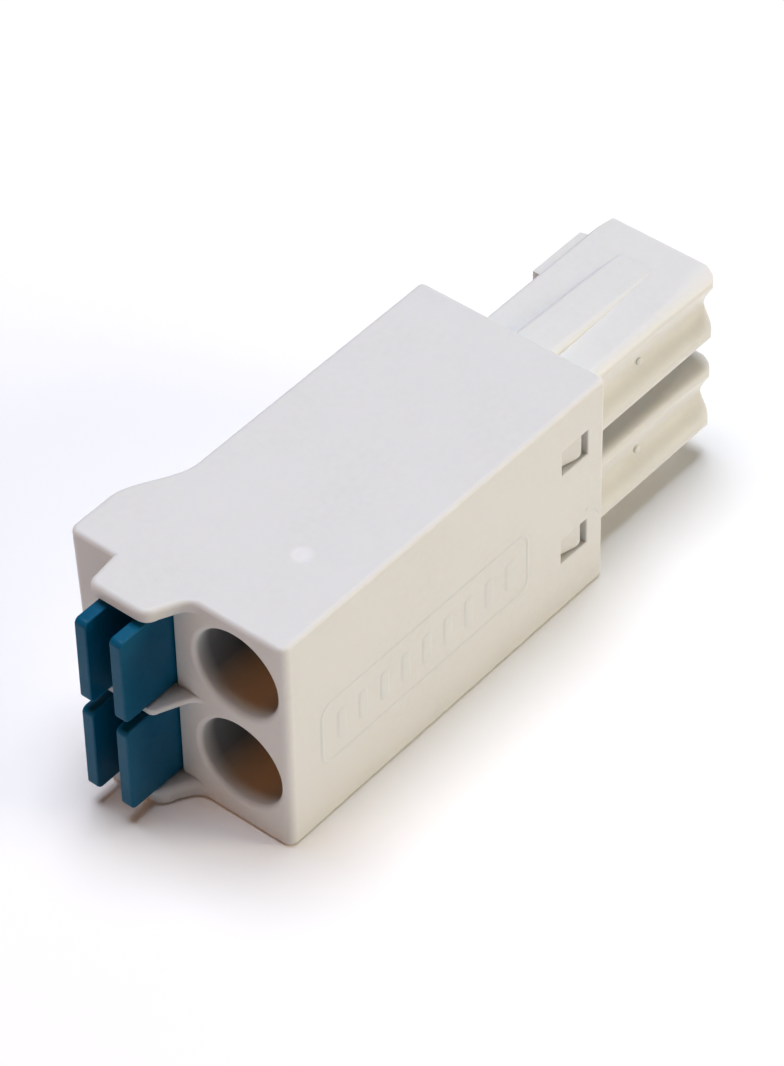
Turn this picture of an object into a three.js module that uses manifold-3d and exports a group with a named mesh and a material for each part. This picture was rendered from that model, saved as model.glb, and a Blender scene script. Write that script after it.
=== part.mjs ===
// Two-pole pluggable push-in wire connector with sliding release actuators.
//
// Millimetres, +Z up. The parts are drawn in a working frame: X = 0 at the wire entry face and
// growing towards the plug tips, Y = 0 at the flat side wall, Z = 0 at the base. The exported group
// shifts them so that the origin is the bottom centre of the whole connector.

import * as THREE from 'three';
import { ConvexGeometry } from 'three/addons/geometries/ConvexGeometry.js';
import { mergeVertices } from 'three/addons/utils/BufferGeometryUtils.js';
import Module from 'manifold-3d';

const wasm = await Module();
wasm.setup();

// ---------------------------------------------------------------- driving dimensions

const POLE_PITCH = 5.0;
const WIRE_Y = 2.59;
const POLES = [
  { name: 'lower', z: 3.31 },
  { name: 'upper', z: 3.31 + POLE_PITCH },
];
const CLEARANCE = 0.08;

const housing = {
  length: 20.2,
  width: 9.74,
  frontWidth: 11.2,
  height: 11.13,
  wall: 0.9,
  edge: 0.24,
  frontCorner: 0.45,
  rearCorner: 0.28,
  bulgeStart: 6.1,
  bulgeEnd: 2.4,
  bulgeLean: 0.55,
  frontBlock: 4.8,
};

// The shelves that reach forward over, between and under the release sliders.
const shelf = { outerY: 8.8, innerY: 4.75, cornerY: 5.5, draft: 0.15, rootX: 0.45, rootY: 0.5 };
const shelfLevels = [
  { bottom: 0, top: 0.85, reach: 1.6, round: 0.75 },
  { bottom: 5.45, top: 5.8, reach: 1.75, round: 0.3 },
  { bottom: 10.48, top: housing.height, reach: 1.75, round: 0.6 },
];

const channel = { y0: 5.7, y1: 8.3, flare: 0.5 };
const funnel = { mouth: 2.09, throat: 1.45, straight: 2.6, throatLength: 0.4 };
const bay = { front: 14.3, z0: 0.85, z1: 10.48 };
const snapWindow = { x0: 17.35, x1: 19.05, height: 1.34, rise: 0.07 };
const snapCatch = { gap: 0.06, endGap: 0.33, root: 0.3, start: 0.6, proud: 0.88 };

const slider = {
  front: -3.0,
  cheek: 0.6,
  outerY: 8.2,
  innerY: 5.78,
  height: 4.4,
  webStart: 1.6,
  webEnd: 3.7,
  noseCentre: 6.0,
  corner: 0.28,
};

const spring = {
  thickness: 0.35,
  width: 3.0,
  loopX: 6.1,
  loopY: 7.0,
  anchorY: 8.5,
  anchorEnd: 13.9,
  leafAngle: THREE.MathUtils.degToRad(38),
  seam: 0.1,
};

const bar = { thickness: 0.6, width: 3.0, faceY: 1.9, start: 8.0, cross: 14.0, crossEnd: 8.2, bend: 0.8 };

const plug = {
  start: 14.9,
  tip: 29.3,
  y0: 1.05,
  y1: 6.9,
  fingerHeight: 3.6,
  fingerLift: 0.1,
  lipWidth: 0.5,
  lipDrop: 0.45,
  waist: 0.75,
  waistDrop: 2.15,
  foot: 0.3,
  farRound: 0.15,
};
const leadIn = { start: 24.5, width: 1.2, drop: 0.6, tipX: 0.6, tipY: 1.0, farX: 1.5, farY: 0.3 };
const latch = { x0: 24.4, x1: 27.7, proud: 0.3, root: 0.5, ramp: 0.1, height: 3.52 };
const step = { y0: 3.0, y1: 5.22, end: 27.8, rise: 0.32, root: 0.3 };
const bore = { y: 3.97, width: 2.5, height: 2.1, mouthWidth: 2.0, mouthHeight: 1.3, endWall: 0.9 };
const contact = {
  base: 0.3,
  arm: 0.4,
  height: 1.6,
  end: 27.4,
  rootGap: 1.2,
  pinchGap: 0.6,
  rootLength: 3.0,
  pinchFromEnd: 1.6,
};

const overall = { xMin: slider.front, xMax: plug.tip, yMin: 0, yMax: housing.frontWidth };

// ---------------------------------------------------------------- materials

const finishes = {
  housing: { color: 0xd9d5cf, roughness: 0.55, metalness: 0 },
  carrier: { color: 0xd6d2cb, roughness: 0.55, metalness: 0 },
  slider: { color: 0x0a6385, roughness: 0.4, metalness: 0 },
  spring: { color: 0xb4b6b8, roughness: 0.3, metalness: 1 },
  copper: { color: 0xc9a06a, roughness: 0.35, metalness: 1 },
  tinned: { color: 0xc4c3bd, roughness: 0.4, metalness: 1 },
};
const materials = Object.fromEntries(
  Object.entries(finishes).map(([key, finish]) => [key, new THREE.MeshStandardMaterial(finish)]),
);

// ---------------------------------------------------------------- solid helpers

function toSolid(geometry) {
  const bare = geometry.index ? geometry.toNonIndexed() : geometry.clone();
  bare.deleteAttribute('normal');
  bare.deleteAttribute('uv');
  const merged = mergeVertices(bare, 1e-5);
  const mesh = new wasm.Mesh({
    numProp: 3,
    vertProperties: new Float32Array(merged.attributes.position.array),
    triVerts: new Uint32Array(merged.index.array),
  });
  return new wasm.Manifold(mesh);
}

function toGeometry(solid) {
  const mesh = solid.getMesh();
  const geometry = new THREE.BufferGeometry();
  geometry.setAttribute('position', new THREE.BufferAttribute(new Float32Array(mesh.vertProperties), 3));
  geometry.setIndex(new THREE.BufferAttribute(new Uint32Array(mesh.triVerts), 1));
  geometry.computeVertexNormals();
  return geometry;
}

function centred(middle, size) {
  return [middle - size / 2, middle + size / 2];
}

function box(x0, x1, y0, y1, z0, z1) {
  const geometry = new THREE.BoxGeometry(x1 - x0, y1 - y0, z1 - z0);
  geometry.translate((x0 + x1) / 2, (y0 + y1) / 2, (z0 + z1) / 2);
  return toSolid(geometry);
}

// A shape of straight steps, with no point repeated where an arc meets its neighbour.
function cleanOutline(shape, divisions) {
  const points = shape.getPoints(divisions);
  const kept = points.filter((point, i) => point.distanceTo(points[(i + 1) % points.length]) > 1e-4);
  return new THREE.Shape(kept);
}

function extrude(shape, depth, divisions) {
  return new THREE.ExtrudeGeometry(cleanOutline(shape, divisions), { depth, bevelEnabled: false });
}

// A plan outline (x, y) raised from z0 to z1.
function plate(shape, z0, z1, divisions = 6) {
  const geometry = extrude(shape, z1 - z0, divisions);
  geometry.translate(0, 0, z0);
  return toSolid(geometry);
}

// A cross-section (y, z) carried along X from x0 to x1.
function rail(shape, x0, x1, divisions = 4) {
  const geometry = extrude(shape, x1 - x0, divisions);
  geometry.applyMatrix4(
    new THREE.Matrix4().makeBasis(
      new THREE.Vector3(0, 1, 0),
      new THREE.Vector3(0, 0, 1),
      new THREE.Vector3(1, 0, 0),
    ),
  );
  geometry.translate(x0, 0, 0);
  return toSolid(geometry);
}

// A side outline (x, z) carried along Y from y0 to y1.
function slab(shape, y0, y1, divisions = 4) {
  const geometry = extrude(shape, y1 - y0, divisions);
  geometry.rotateX(Math.PI / 2);
  geometry.translate(0, y1, 0);
  return toSolid(geometry);
}

function polygon(points) {
  return new THREE.Shape(points.map(([a, b]) => new THREE.Vector2(a, b)));
}

// A rectangle with every corner rounded to one radius.
function roundedRectangle(a0, a1, b0, b1, radius) {
  const shape = new THREE.Shape();
  shape.moveTo(a0 + radius, b0);
  shape.absarc(a1 - radius, b0 + radius, radius, -Math.PI / 2, 0);
  shape.absarc(a1 - radius, b1 - radius, radius, 0, Math.PI / 2);
  shape.absarc(a0 + radius, b1 - radius, radius, Math.PI / 2, Math.PI);
  shape.absarc(a0 + radius, b0 + radius, radius, Math.PI, 1.5 * Math.PI);
  return shape;
}

// A strip of even thickness that follows a centre line, with square ends.
function stripShape(centreLine, thickness) {
  const half = thickness / 2;
  const left = [];
  const right = [];
  centreLine.forEach((point, i) => {
    const before = centreLine[Math.max(i - 1, 0)];
    const after = centreLine[Math.min(i + 1, centreLine.length - 1)];
    const along = after.clone().sub(before).normalize();
    const into = point.clone().sub(before).normalize();
    const mitre = into.lengthSq() > 0 ? Math.max(along.dot(into), 0.7) : 1;
    const offset = new THREE.Vector2(-along.y, along.x).multiplyScalar(half / mitre);
    left.push(point.clone().add(offset));
    right.unshift(point.clone().sub(offset));
  });
  return new THREE.Shape([...left, ...right]);
}

function arcPoints(cx, cy, radius, from, to, steps) {
  return Array.from({ length: steps + 1 }, (_, i) => {
    const angle = from + ((to - from) * i) / steps;
    return new THREE.Vector2(cx + radius * Math.cos(angle), cy + radius * Math.sin(angle));
  });
}

// ---------------------------------------------------------------- housing shell

// Straight box at the plug end; the far side swells outwards near the wire entry face.
function housingOutline() {
  const { length, width, frontWidth, frontCorner, rearCorner, bulgeStart, bulgeEnd } = housing;
  const run = (bulgeStart - bulgeEnd) / 3;
  const shape = new THREE.Shape();
  shape.moveTo(frontCorner, 0);
  shape.absarc(length - rearCorner, rearCorner, rearCorner, -Math.PI / 2, 0);
  shape.absarc(length - rearCorner, width - rearCorner, rearCorner, 0, Math.PI / 2);
  shape.lineTo(bulgeStart, width);
  shape.bezierCurveTo(bulgeStart - run, width, bulgeEnd + run, frontWidth, bulgeEnd, frontWidth);
  shape.absarc(frontCorner, frontWidth - frontCorner, frontCorner, Math.PI / 2, Math.PI);
  shape.absarc(frontCorner, frontCorner, frontCorner, Math.PI, 1.5 * Math.PI);
  return shape;
}

// The swollen side leans inwards towards the base by the mould's draft.
function leanBulge(geometry) {
  const { width, frontWidth, height, edge, bulgeLean } = housing;
  const position = geometry.attributes.position;
  for (let i = 0; i < position.count; i += 1) {
    const swell = (position.getY(i) - width) / (frontWidth - width);
    if (swell > 0) {
      const drop = Math.max(0, 1 - position.getZ(i) / (height - edge));
      position.setY(i, position.getY(i) - swell * drop * bulgeLean);
    }
  }
  return geometry;
}

function housingBlank() {
  const { height, edge } = housing;
  const geometry = new THREE.ExtrudeGeometry(cleanOutline(housingOutline(), 5), {
    depth: height - 2 * edge,
    bevelSize: edge,
    bevelOffset: -edge,
    bevelThickness: edge,
    bevelSegments: 3,
  });
  geometry.translate(0, 0, edge);
  return toSolid(leanBulge(geometry));
}

// Rounded at both front corners, and joined to the wire entry face by a wide fillet at innerY.
function shelfOutline({ reach, round }) {
  const { outerY, innerY, cornerY, draft, rootX, rootY } = shelf;
  const root = housing.edge + 0.1;
  const corner = { x: round - reach, y: cornerY - 0.25 * round };
  const filletStart = innerY + (rootX * (corner.y - innerY)) / -corner.x;
  const shape = new THREE.Shape();
  shape.moveTo(root, outerY);
  shape.lineTo(0, outerY);
  shape.lineTo(round - reach, outerY - draft);
  shape.quadraticCurveTo(-reach, outerY - draft, -reach, outerY - draft - round);
  shape.lineTo(-reach, cornerY + round);
  shape.quadraticCurveTo(-reach, cornerY, corner.x, corner.y);
  shape.lineTo(-rootX, filletStart);
  shape.quadraticCurveTo(0, innerY, 0, innerY - rootY);
  shape.lineTo(root, innerY - rootY);
  return shape;
}

function wireFunnel(z) {
  const { mouth, throat, straight, throatLength } = funnel;
  const profile = [
    [0, -1],
    [mouth, -1],
    [mouth, straight],
    [throat, housing.frontBlock - throatLength],
    [throat, housing.frontBlock + 0.2],
    [0, housing.frontBlock + 0.2],
  ].map(([r, x]) => new THREE.Vector2(r, x));
  const geometry = new THREE.LatheGeometry(profile, 28);
  geometry.rotateZ(-Math.PI / 2);
  geometry.translate(0, WIRE_Y, z);
  return toSolid(geometry);
}

// Plan of a slider's channel. Its outer side flares at the mouth.
function channelOutline() {
  const { y0, y1, flare } = channel;
  const end = housing.frontBlock + 0.2;
  const shape = new THREE.Shape();
  shape.moveTo(-0.5, y0);
  shape.lineTo(end, y0);
  shape.lineTo(end, y1);
  shape.lineTo(flare, y1);
  shape.quadraticCurveTo(0, y1, 0, y1 + flare);
  shape.lineTo(-0.5, y1 + flare);
  return shape;
}

function housingShell() {
  let solid = housingBlank();
  for (const level of shelfLevels) {
    solid = solid.add(plate(shelfOutline(level), level.bottom, level.top));
  }
  const { wall, width, length, frontBlock } = housing;
  solid = solid.subtract(box(bay.front, length + 1, wall, width - wall, bay.z0, bay.z1));
  POLES.forEach(({ z }, level) => {
    const floor = shelfLevels[level].top;
    const roof = shelfLevels[level + 1].bottom;
    solid = solid.subtract(plate(channelOutline(), floor, roof));
    solid = solid.subtract(box(frontBlock, bay.front + 0.2, wall, width - wall, floor, roof));
    solid = solid.subtract(wireFunnel(z));
    const { x0, x1, height, rise } = snapWindow;
    solid = solid.subtract(box(x0, x1, -1, width + 1, ...centred(z + rise, height)));
  });
  return toGeometry(solid);
}

// ---------------------------------------------------------------- plug carrier

// Finger cross-section: flat on the far side. On the near side a rounded lip overhangs a waist.
function fingerSection(z0) {
  const { y0, y1, fingerHeight, lipWidth, lipDrop, waist, waistDrop, foot, farRound } = plug;
  const top = z0 + fingerHeight;
  const level = top - waistDrop;
  const shape = new THREE.Shape();
  shape.moveTo(y0 + foot, z0);
  shape.lineTo(y1 - farRound, z0);
  shape.quadraticCurveTo(y1, z0, y1, z0 + farRound);
  shape.lineTo(y1, top - farRound);
  shape.quadraticCurveTo(y1, top, y1 - farRound, top);
  shape.lineTo(y0 + lipWidth, top);
  shape.absellipse(y0 + lipWidth, top - lipDrop, lipWidth, lipDrop, Math.PI / 2, Math.PI);
  shape.bezierCurveTo(y0, top - 1.5 * lipDrop, y0 + waist, level + lipDrop, y0 + waist, level);
  shape.bezierCurveTo(y0 + waist, level - foot, y0, z0 + 2 * foot, y0, z0 + foot);
  shape.quadraticCurveTo(y0, z0, y0 + foot, z0);
  return shape;
}

// The wedge cut off a finger's lip, growing wider and deeper towards the tip.
function leadInWedge(top) {
  const { tip, y0 } = plug;
  const { start, width, drop } = leadIn;
  const beyond = tip + 0.1;
  const outside = y0 - 0.5;
  const above = top + 0.5;
  const points = [
    [start, y0, top],
    [start, outside, above],
    [beyond, y0 + width, top],
    [beyond, y0 + width, above],
    [beyond, y0, top - drop],
    [beyond, outside, top - drop],
    [beyond, outside, above],
  ].map(([x, y, z]) => new THREE.Vector3(x, y, z));
  return toSolid(new ConvexGeometry(points));
}

// Plan limit of a finger: both corners of its tip are drawn in.
function fingerPlan() {
  const { start, tip, y0, y1 } = plug;
  const { tipX, tipY, farX, farY } = leadIn;
  const shape = new THREE.Shape();
  shape.moveTo(start, y0 - 0.1);
  shape.lineTo(tip - tipX, y0 - 0.1);
  shape.quadraticCurveTo(tip, y0, tip, y0 + tipY);
  shape.lineTo(tip, y1 - farY);
  shape.lineTo(tip - farX, y1);
  shape.lineTo(start, y1);
  return shape;
}

// The nose on a finger's far side that latches in the mating socket.
function latchNose(middle) {
  const { x0, x1, proud, root, ramp, height } = latch;
  const { y1 } = plug;
  const outline = polygon([
    [x0, y1 - root],
    [x0, y1 + proud],
    [x1 - ramp, y1 + proud],
    [x1, y1],
    [x1, y1 - root],
  ]);
  return plate(outline, ...centred(middle, height));
}

// The low strip on the upper finger, which falls away towards the tip.
function stepStrip(top) {
  const start = housing.length + CLEARANCE;
  const { y0, y1, end, rise, root } = step;
  const side = polygon([
    [start, top - root],
    [end, top - root],
    [end, top],
    [start, top + rise],
  ]);
  return slab(side, y0, y1);
}

// A ramped catch that snaps into a housing window, on the flat side wall or on the far one.
function catchSolid(z, farSide) {
  const { gap, endGap, root, start, proud } = snapCatch;
  const outward = farSide ? 1 : -1;
  const wallInside = farSide ? housing.width - housing.wall - CLEARANCE : housing.wall + CLEARANCE;
  const left = snapWindow.x0 + gap;
  const right = snapWindow.x1 - endGap;
  const outline = polygon([
    [left, wallInside - outward * root],
    [left, wallInside + outward * start],
    [right, wallInside + outward * proud],
    [right, wallInside - outward * root],
  ]);
  return plate(outline, ...centred(z + snapWindow.rise, snapWindow.height - 2 * gap));
}

function contactBore(middle) {
  const { y, width, height, mouthWidth, mouthHeight, endWall } = bore;
  const wide = box(bay.front, plug.tip - endWall, ...centred(y, width), ...centred(middle, height));
  const mouth = box(bay.front, plug.tip + 1, ...centred(y, mouthWidth), ...centred(middle, mouthHeight));
  return wide.add(mouth);
}

function plugCarrier() {
  const { wall, width, length } = housing;
  const y0 = wall + CLEARANCE;
  const y1 = width - wall - CLEARANCE;
  let solid = box(plug.start, length - 0.2, y0, y1, bay.z0 + CLEARANCE, bay.z1 - CLEARANCE);
  for (const { z } of POLES) {
    const middle = z + plug.fingerLift;
    const [bottom, top] = centred(middle, plug.fingerHeight);
    const finger = rail(fingerSection(bottom), length - 1, plug.tip);
    const limit = plate(fingerPlan(), bottom - 1, top + 1);
    const shaped = finger.intersect(limit).subtract(leadInWedge(top));
    solid = solid.add(shaped).add(latchNose(middle));
    solid = solid.add(catchSolid(z, false)).add(catchSolid(z, true));
  }
  solid = solid.add(stepStrip(POLES[1].z + plug.fingerLift + plug.fingerHeight / 2));
  for (const { z } of POLES) {
    solid = solid.subtract(contactBore(z + plug.fingerLift));
  }
  return toGeometry(solid);
}

// ---------------------------------------------------------------- release sliders

// U-shaped slider: two thin cheeks joined by a web, the inner cheek running on as the pusher.
function releaseSlider(level) {
  const { front, cheek, outerY, innerY, height, webStart, webEnd, noseCentre, corner } = slider;
  const z0 = shelfLevels[level].top + CLEARANCE;
  const z1 = z0 + height;
  const pusher = slab(roundedRectangle(front, noseCentre, z0, z1, corner), innerY, innerY + cheek);
  const outer = slab(roundedRectangle(front, webEnd, z0, z1, corner), outerY - cheek, outerY);
  const web = box(webStart, webEnd, innerY, outerY, z0, z1);
  const nose = plate(
    new THREE.Shape().absarc(noseCentre, innerY + cheek / 2, cheek / 2, 0, 2 * Math.PI),
    z0 + corner,
    z1 - corner,
    10,
  );
  return toGeometry(pusher.add(outer).add(web).add(nose));
}

// ---------------------------------------------------------------- clamp springs

// Centre and radius of the spring's loop, and the point where the loop becomes the straight leaf.
function springLoop() {
  const { loopX, loopY, anchorY, leafAngle } = spring;
  const radius = (anchorY - loopY) / 2;
  const centre = new THREE.Vector2(loopX, loopY + radius);
  const leafTurn = 1.5 * Math.PI - leafAngle;
  const offset = new THREE.Vector2(Math.cos(leafTurn), Math.sin(leafTurn)).multiplyScalar(radius);
  return { centre, radius, leafTurn, leafStart: centre.clone().add(offset) };
}

// The part of the bent steel strip that stays still: the anchor leg and the loop.
function clampSpring(z) {
  const { thickness, width, anchorY, anchorEnd } = spring;
  const { centre, radius, leafTurn } = springLoop();
  const line = [
    new THREE.Vector2(anchorEnd, anchorY),
    ...arcPoints(centre.x, centre.y, radius, Math.PI / 2, leafTurn, 12),
  ];
  return toGeometry(plate(stripShape(line, thickness), ...centred(z, width)));
}

// The part that flexes: the straight clamping leaf, whose end bites on the conductor.
function clampLeaf(z) {
  const { thickness, width, seam, leafAngle } = spring;
  const { leafStart } = springLoop();
  const along = new THREE.Vector2(Math.cos(leafAngle), -Math.sin(leafAngle));
  const reach = (leafStart.y - bar.faceY - thickness / 2) / Math.sin(leafAngle);
  const line = [seam, reach].map((distance) => leafStart.clone().addScaledVector(along, distance));
  return toGeometry(plate(stripShape(line, thickness), ...centred(z, width)));
}

// ---------------------------------------------------------------- current bars and contacts

function currentBar(z) {
  const { thickness, width, faceY, start, cross, crossEnd, bend } = bar;
  const y = faceY - thickness / 2;
  const line = [
    new THREE.Vector2(start, y),
    ...arcPoints(cross - bend, y + bend, bend, -Math.PI / 2, 0, 5),
    new THREE.Vector2(cross, crossEnd),
  ];
  return toGeometry(plate(stripShape(line, thickness), ...centred(z, width)));
}

// Two springy arms that close on the pin of the mating socket.
function socketContact(z) {
  const { base, arm, height, end, rootGap, pinchGap, rootLength, pinchFromEnd } = contact;
  const x0 = bar.cross + bar.thickness / 2 + CLEARANCE;
  const span = centred(z + plug.fingerLift, height);
  const half = bore.width / 2 - 2 * CLEARANCE;
  const pinch = end - pinchFromEnd;
  const armOutline = (side) => polygon([
    [x0, bore.y],
    [x0, bore.y + side * half],
    [x0 + rootLength, bore.y + side * (rootGap / 2 + arm)],
    [pinch, bore.y + side * (pinchGap / 2 + arm)],
    [end, bore.y + side * (rootGap / 2 + arm)],
    [end, bore.y + side * (rootGap / 2)],
    [pinch, bore.y + side * (pinchGap / 2)],
    [x0 + rootLength, bore.y + side * (rootGap / 2)],
    [x0 + base, bore.y + side * (rootGap / 2)],
    [x0 + base, bore.y],
  ]);
  const arms = [-1, 1].map((side) => plate(armOutline(side), ...span));
  const root = box(x0, x0 + base, bore.y - half, bore.y + half, ...span);
  return toGeometry(arms[0].add(arms[1]).add(root));
}

// ---------------------------------------------------------------- assembly

const connector = new THREE.Group();
connector.position.set(-(overall.xMin + overall.xMax) / 2, -(overall.yMin + overall.yMax) / 2, 0);

function place(name, geometry, material) {
  const mesh = new THREE.Mesh(geometry, material);
  mesh.name = name;
  connector.add(mesh);
}

place('housing_shell', housingShell(), materials.housing);
place('plug_carrier', plugCarrier(), materials.carrier);
POLES.forEach(({ name, z }, level) => {
  place(`release_slider_${name}`, releaseSlider(level), materials.slider);
  place(`clamp_spring_${name}`, clampSpring(z), materials.spring);
  place(`clamp_leaf_${name}`, clampLeaf(z), materials.spring);
  place(`current_bar_${name}`, currentBar(z), materials.copper);
  place(`socket_contact_${name}`, socketContact(z), materials.tinned);
});

const assembly = new THREE.Group();
assembly.add(connector);

export default assembly;
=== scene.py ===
import math

import bmesh
import bpy
from mathutils import Euler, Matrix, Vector


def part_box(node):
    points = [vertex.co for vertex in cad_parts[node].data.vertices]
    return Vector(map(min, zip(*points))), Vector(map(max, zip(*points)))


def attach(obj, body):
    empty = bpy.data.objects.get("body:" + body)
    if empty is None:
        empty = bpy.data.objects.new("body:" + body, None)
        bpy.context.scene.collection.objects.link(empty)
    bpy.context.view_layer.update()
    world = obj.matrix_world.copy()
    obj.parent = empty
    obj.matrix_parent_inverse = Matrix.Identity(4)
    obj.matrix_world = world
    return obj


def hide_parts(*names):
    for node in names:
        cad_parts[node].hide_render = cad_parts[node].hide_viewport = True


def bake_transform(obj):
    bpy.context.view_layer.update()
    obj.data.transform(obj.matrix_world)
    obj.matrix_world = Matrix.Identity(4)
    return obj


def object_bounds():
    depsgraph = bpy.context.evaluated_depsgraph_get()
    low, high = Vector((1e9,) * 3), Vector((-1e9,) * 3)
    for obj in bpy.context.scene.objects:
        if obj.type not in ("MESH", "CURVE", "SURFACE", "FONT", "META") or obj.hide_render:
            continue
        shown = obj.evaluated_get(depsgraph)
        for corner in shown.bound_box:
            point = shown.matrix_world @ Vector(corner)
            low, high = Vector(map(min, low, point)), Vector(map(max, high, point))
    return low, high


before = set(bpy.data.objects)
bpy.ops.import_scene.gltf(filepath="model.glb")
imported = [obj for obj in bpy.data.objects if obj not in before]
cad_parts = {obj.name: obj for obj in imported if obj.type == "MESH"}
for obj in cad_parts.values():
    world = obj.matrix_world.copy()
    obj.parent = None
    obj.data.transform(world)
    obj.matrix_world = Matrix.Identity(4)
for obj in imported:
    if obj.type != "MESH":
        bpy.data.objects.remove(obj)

CAD_BOX = [list(corner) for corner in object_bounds()]

# The pieces are drawn in millimetres in the working frame of the CAD part: X = 0 at the wire entry
# face, Y = 0 at the flat side wall and Z = 0 at the base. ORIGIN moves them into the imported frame.

MM = 0.001
SLIDER_REACH = 3.0
ORIGIN = Vector((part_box("release_slider_upper")[0].x + SLIDER_REACH * MM, CAD_BOX[0][1], 0.0))

# ---------------------------------------------------------------- driving dimensions, millimetres

# The heights of the two wires' axes, and their distance from the flat side.
POLES = {"lower": 3.31, "upper": 8.31}
WIRE_Y = 2.59
CLEARANCE = 0.08

# How far a cut runs into the next one and out of the part, and how near counts as on a face.
OVERCUT = 0.2
PAST_WALL = 1.0
NEAR = 0.01

# Housing

LENGTH = 20.2
WIDTH = 9.74
FRONT_WIDTH = 11.2
HEIGHT = 11.13
WALL = 0.9
EDGE_ROUND = 0.24
FRONT_CORNER = 0.45
REAR_CORNER = 0.28
BULGE_START = 6.1
BULGE_END = 2.4
BULGE_LEAN = 0.55
FRONT_BLOCK = 4.8
BAY_FRONT = 14.3
BAY_Z = (0.85, 10.48)
REAR_OPENINGS_X = 16.3
REAR_OPENINGS_RIM = 0.1
OPENING_EDGE = 0.07

SHELVES = (
    {"bottom": 0.0, "top": 0.85, "reach": 1.6, "round": 0.75, "rims": (0.24, 0.3)},
    {"bottom": 5.45, "top": 5.8, "reach": 1.75, "round": 0.3, "rims": (0.12, 0.1)},
    {"bottom": 10.48, "top": HEIGHT, "reach": 1.75, "round": 0.6, "rims": (0.14, 0.24)},
)
SHELF_SINK = 0.004
SHELF_ROOT = 0.1
SHELF_OUTER_Y = 8.8
SHELF_INNER_Y = 4.75
SHELF_CORNER_Y = 5.5
SHELF_CORNER_SLANT = 0.25
SHELF_DRAFT = 0.15
SHELF_FILLET = (0.45, 0.5)

CHANNEL_FRONT = -0.5
CHANNEL_Y = (5.7, 8.3)
CHANNEL_FLARE = 0.5

FUNNEL_MOUTH = 2.09
FUNNEL_LIP = 0.26
FUNNEL_STRAIGHT = 2.6
FUNNEL_SHOULDER = (0.25, 0.05)
FUNNEL_THROAT = 1.45

# The throat eases in and then starts at these distances from the back of the front block.
THROAT_EASE = 0.06
THROAT_EASE_START = 0.6
THROAT_START = 0.3

# The range over which the painted shade in the wire entries comes in, inwards from the face and up from
# the axis.
PAINTED_ENTRY_SHADE_DEPTH = (0.1, 0.9)
PAINTED_ENTRY_SHADE_HEIGHT = (-2.1, -1.2)
PAINTED_ENTRY_SHADE_MARGIN = 0.1

WINDOW_X = (17.35, 19.05)
WINDOW_HEIGHT = 1.34
WINDOW_RISE = 0.07

GATE = (4.62, 2.97)
GATE_DISH = (1.5, 1.5, 0.35)
GATE_NUB = (0.3, 0.3, 0.03)
GATE_NUB_SINK = 0.035
GATE_PALE_SPOT = 0.6
SPOT = (4.7, 3.9)
SPOT_DISH = (1.0, 1.0, 0.34)
DISH_LIFT = 0.33

# Relief on the flat side

RELIEF = 0.03
RELIEF_ROOT = 0.05
LINE_WIDTH = 0.22
LINE_SHOULDER = 0.7
PAD_SHOULDER = 0.3
LABEL_X = (2.1, 15.1)
LABEL_Z = (3.1, 6.3)
LABEL_ROUND = 0.6
LABEL_BARS = 9
LABEL_BAR_WIDTH = 0.6
LABEL_BAR_ROUND = 0.25
LABEL_BAR_SLOPE = 0.16
LABEL_MARGIN_X = 1.2
LABEL_MARGIN_Z = 0.8
MOULD_ARC_CENTRE = (18.6, 3.25)
MOULD_ARC_RADIUS = 1.45
MOULD_ARC_ANGLES = (75, 25)
MOULD_LINE_RELIEF = 0.4

# Plug carrier

PLUG_START = 14.9
PLUG_TIP = 29.3
PLUG_Y = (1.05, 6.9)
FINGER_ROOT = 1.0
FINGER_HEIGHT = 3.6
FINGER_LIFT = 0.1
FINGER_FOOT = 0.3
FINGER_FAR_ROUND = 0.22
FINGER_TOPS = {name: z + FINGER_LIFT + FINGER_HEIGHT / 2 for name, z in POLES.items()}
LIP = (0.5, 0.45)
LIP_FALL = 1.5
TIP_LIP = (1.2, 0.55)
LEAD_IN_START = 24.5
LEAD_IN_STEPS = 24
TIP_CORNER = (0.6, 1.0)
TIP_FAR_CORNER = (1.5, 0.3)
TIP_ROUND = 0.18
WAIST = 0.75
WAIST_DROP = 2.15
LATCH_X = (24.4, 27.7)
LATCH_PROUD = 0.3
LATCH_ROOT = 0.5
LATCH_RAMP = 0.1
LATCH_HEIGHT = 3.52
STEP_Y = (3.0, 5.22)
STEP_END = 27.8
STEP_SINK = 0.01
STEP_RISE = 0.32
STEP_ROOT = 0.3
NUB_X = 24.7
NUB_DROP = 2.4
NUB_SINK = 0.03
NUB = (0.22, 0.11, 0.28)
CATCH_GAP = 0.06
CATCH_END_GAP = 0.33
CATCH_ROOT = 0.3
CATCH_START = 0.54
CATCH_PROUD = 0.88
CATCH_CORNER = 0.28
BORE_Y = 3.97
BORE = (2.5, 2.1)
MOUTH = (2.0, 1.3)
END_WALL = 0.9
CARRIER_EDGE = 0.06

# Release sliders

SLIDER_CHEEK = 0.6
SLIDER_Y = (5.78, 8.2)
SLIDER_HEIGHT = 4.4
SLIDER_WEB_X = (1.6, 3.7)
SLIDER_NOSE_X = 6.0
SLIDER_CORNER = 0.28
SLIDER_EDGE = 0.08

# Springs, current bars and contacts

STRIP_ROUND = 0.06
STRIP_SPACING = 0.25
SPRING_THICKNESS = 0.35
SPRING_WIDTH = 3.0
SPRING_BASE = (6.1, 7.0)
SPRING_ANCHOR_Y = 8.5
SPRING_ANCHOR_END = 13.9
LEAF_ANGLE = 38

BAR_THICKNESS = 0.6
BAR_FACE_Y = 1.9
BAR_START = 8.0
BAR_CROSS = 14.0
BAR_CROSS_END = 8.2
BAR_BEND = 0.8

CONTACT_BASE = 0.3
CONTACT_ARM = 0.4
CONTACT_HEIGHT = 1.6
CONTACT_TAPER = 3.0
CONTACT_END = 27.4
CONTACT_FLARE = 1.6
CONTACT_ROOT_GAP = 1.2
CONTACT_PINCH_GAP = 0.6
CONTACT_EDGE = 0.05

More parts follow.
